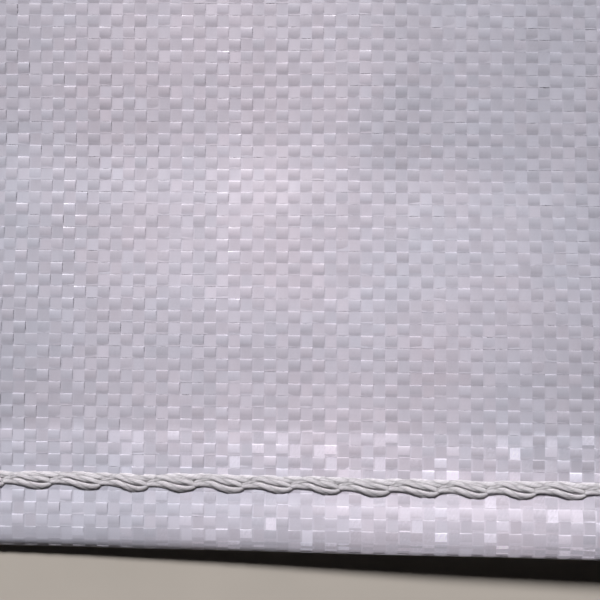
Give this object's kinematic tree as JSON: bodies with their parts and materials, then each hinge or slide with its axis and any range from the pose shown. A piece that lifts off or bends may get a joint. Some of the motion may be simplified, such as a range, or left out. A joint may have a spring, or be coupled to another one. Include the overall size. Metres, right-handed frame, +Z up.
{
  "type": "cement bag",
  "caption": "Empty flat sack of woven plastic tape with an open mouth, its bottom folded under and closed by a chain-stitched seam.",
  "frame": {"origin": "on the floor, under the middle of the bag as it lies flat", "axes": "+X across the bag, +Y along it from the sewn bottom edge to the open mouth, +Z up"},
  "size_m": [0.516, 0.75, 0.0242],
  "materials": {
    "woven_polypropylene": "flat white plastic tape in a plain weave, slightly glossy",
    "sewing_yarn": "matte white plied yarn"
  },
  "bodies": {
    "root": {"woven_bag_body": "woven_polypropylene", "bottom_seam_thread": "sewing_yarn"}
  },
  "joints": []
}
